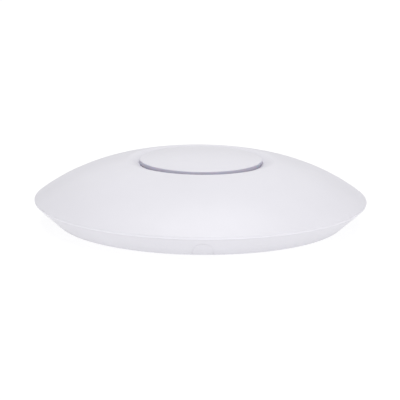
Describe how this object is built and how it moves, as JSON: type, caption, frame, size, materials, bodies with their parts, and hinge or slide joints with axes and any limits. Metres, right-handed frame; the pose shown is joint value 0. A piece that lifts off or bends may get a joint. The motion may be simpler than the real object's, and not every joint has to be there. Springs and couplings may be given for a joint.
{
  "type": "ceiling access point",
  "caption": "Round ceiling-mounted Wi-Fi access point: white dome with a dished centre cap, light ring, slanted skirt and a twist-on ceiling bracket.",
  "frame": {"origin": "centre of the bracket's flat back, on the ceiling plane", "axes": "+Z from the ceiling out through the dome's centre cap; -Y towards the cable knock-out in the skirt"},
  "size_m": [0.16, 0.16, 0.0331],
  "materials": {
    "white_shell": "satin moulded plastic, fine texture",
    "white_back": "matt moulded plastic",
    "diffuser": "translucent plastic, unlit",
    "bracket": "matt moulded plastic",
    "screw_steel": "zinc-plated steel",
    "board": "solder mask over glass-fibre laminate",
    "led_board": "white solder mask",
    "led": "clear moulded lens",
    "spreader": "cast aluminium",
    "thermal_pad": "soft silicone",
    "chip": "moulded epoxy",
    "shield_metal": "tin-plated steel",
    "antenna_metal": "tin-plated brass",
    "coax": "coax jacket",
    "gold": "gold-plated contacts",
    "jack_plastic": "black moulded plastic",
    "connector": "ivory moulded plastic",
    "flex": "flat cable",
    "capacitor": "aluminium can",
    "ferrite": "ferrite",
    "button": "black moulded plastic"
  },
  "bodies": {
    "bracket": {"mounting_bracket": "bracket", "lock_tongue": "bracket"},
    "access_point": {"rear_housing": "white_back", "cable_knockout": "white_back", "case_screws": "screw_steel", "dome_cover": "white_shell", "centre_cap": "white_shell", "light_ring": "diffuser", "led_board": "led_board", "status_leds": "led", "led_board_screws": "screw_steel", "led_connectors": "connector", "led_flex": "flex", "main_board": "board", "board_screws": "screw_steel", "heat_spreader": "spreader", "thermal_pads": "thermal_pad", "processor": "chip", "memory_chip": "chip", "radio_chip_5g": "chip", "radio_chip_2g": "chip", "shield_processor": "shield_metal", "shield_5g": "shield_metal", "shield_2g": "shield_metal", "coax_lead_right": "coax", "coax_lead_left": "coax", "coax_plugs": "gold", "ethernet_shell": "shield_metal", "ethernet_core": "jack_plastic", "ethernet_contacts": "gold", "ethernet_magnetics": "chip", "poe_transformer": "ferrite", "capacitors": "capacitor", "inductors": "ferrite", "reset_switch": "jack_plastic", "antenna_5g_right": "antenna_metal", "antenna_5g_left": "antenna_metal", "antenna_2g_right": "antenna_metal", "antenna_2g_left": "antenna_metal"},
    "reset_button": {"reset_button": "button"}
  },
  "joints": [
    {"name": "twist_lock", "type": "hinge", "parent": "bracket", "child": "access_point", "pos_m": [0, 0, 0], "axis": [0, 0, 1], "range_deg": [0, 18], "deforming": ["lock_tongue"]},
    {"name": "reset_press", "type": "slide", "parent": "access_point", "child": "reset_button", "axis": [0, 0, 1], "range_m": [0, 0.0004], "stiffness_N_per_m": 2000, "springref_m": -0.0002}
  ]
}
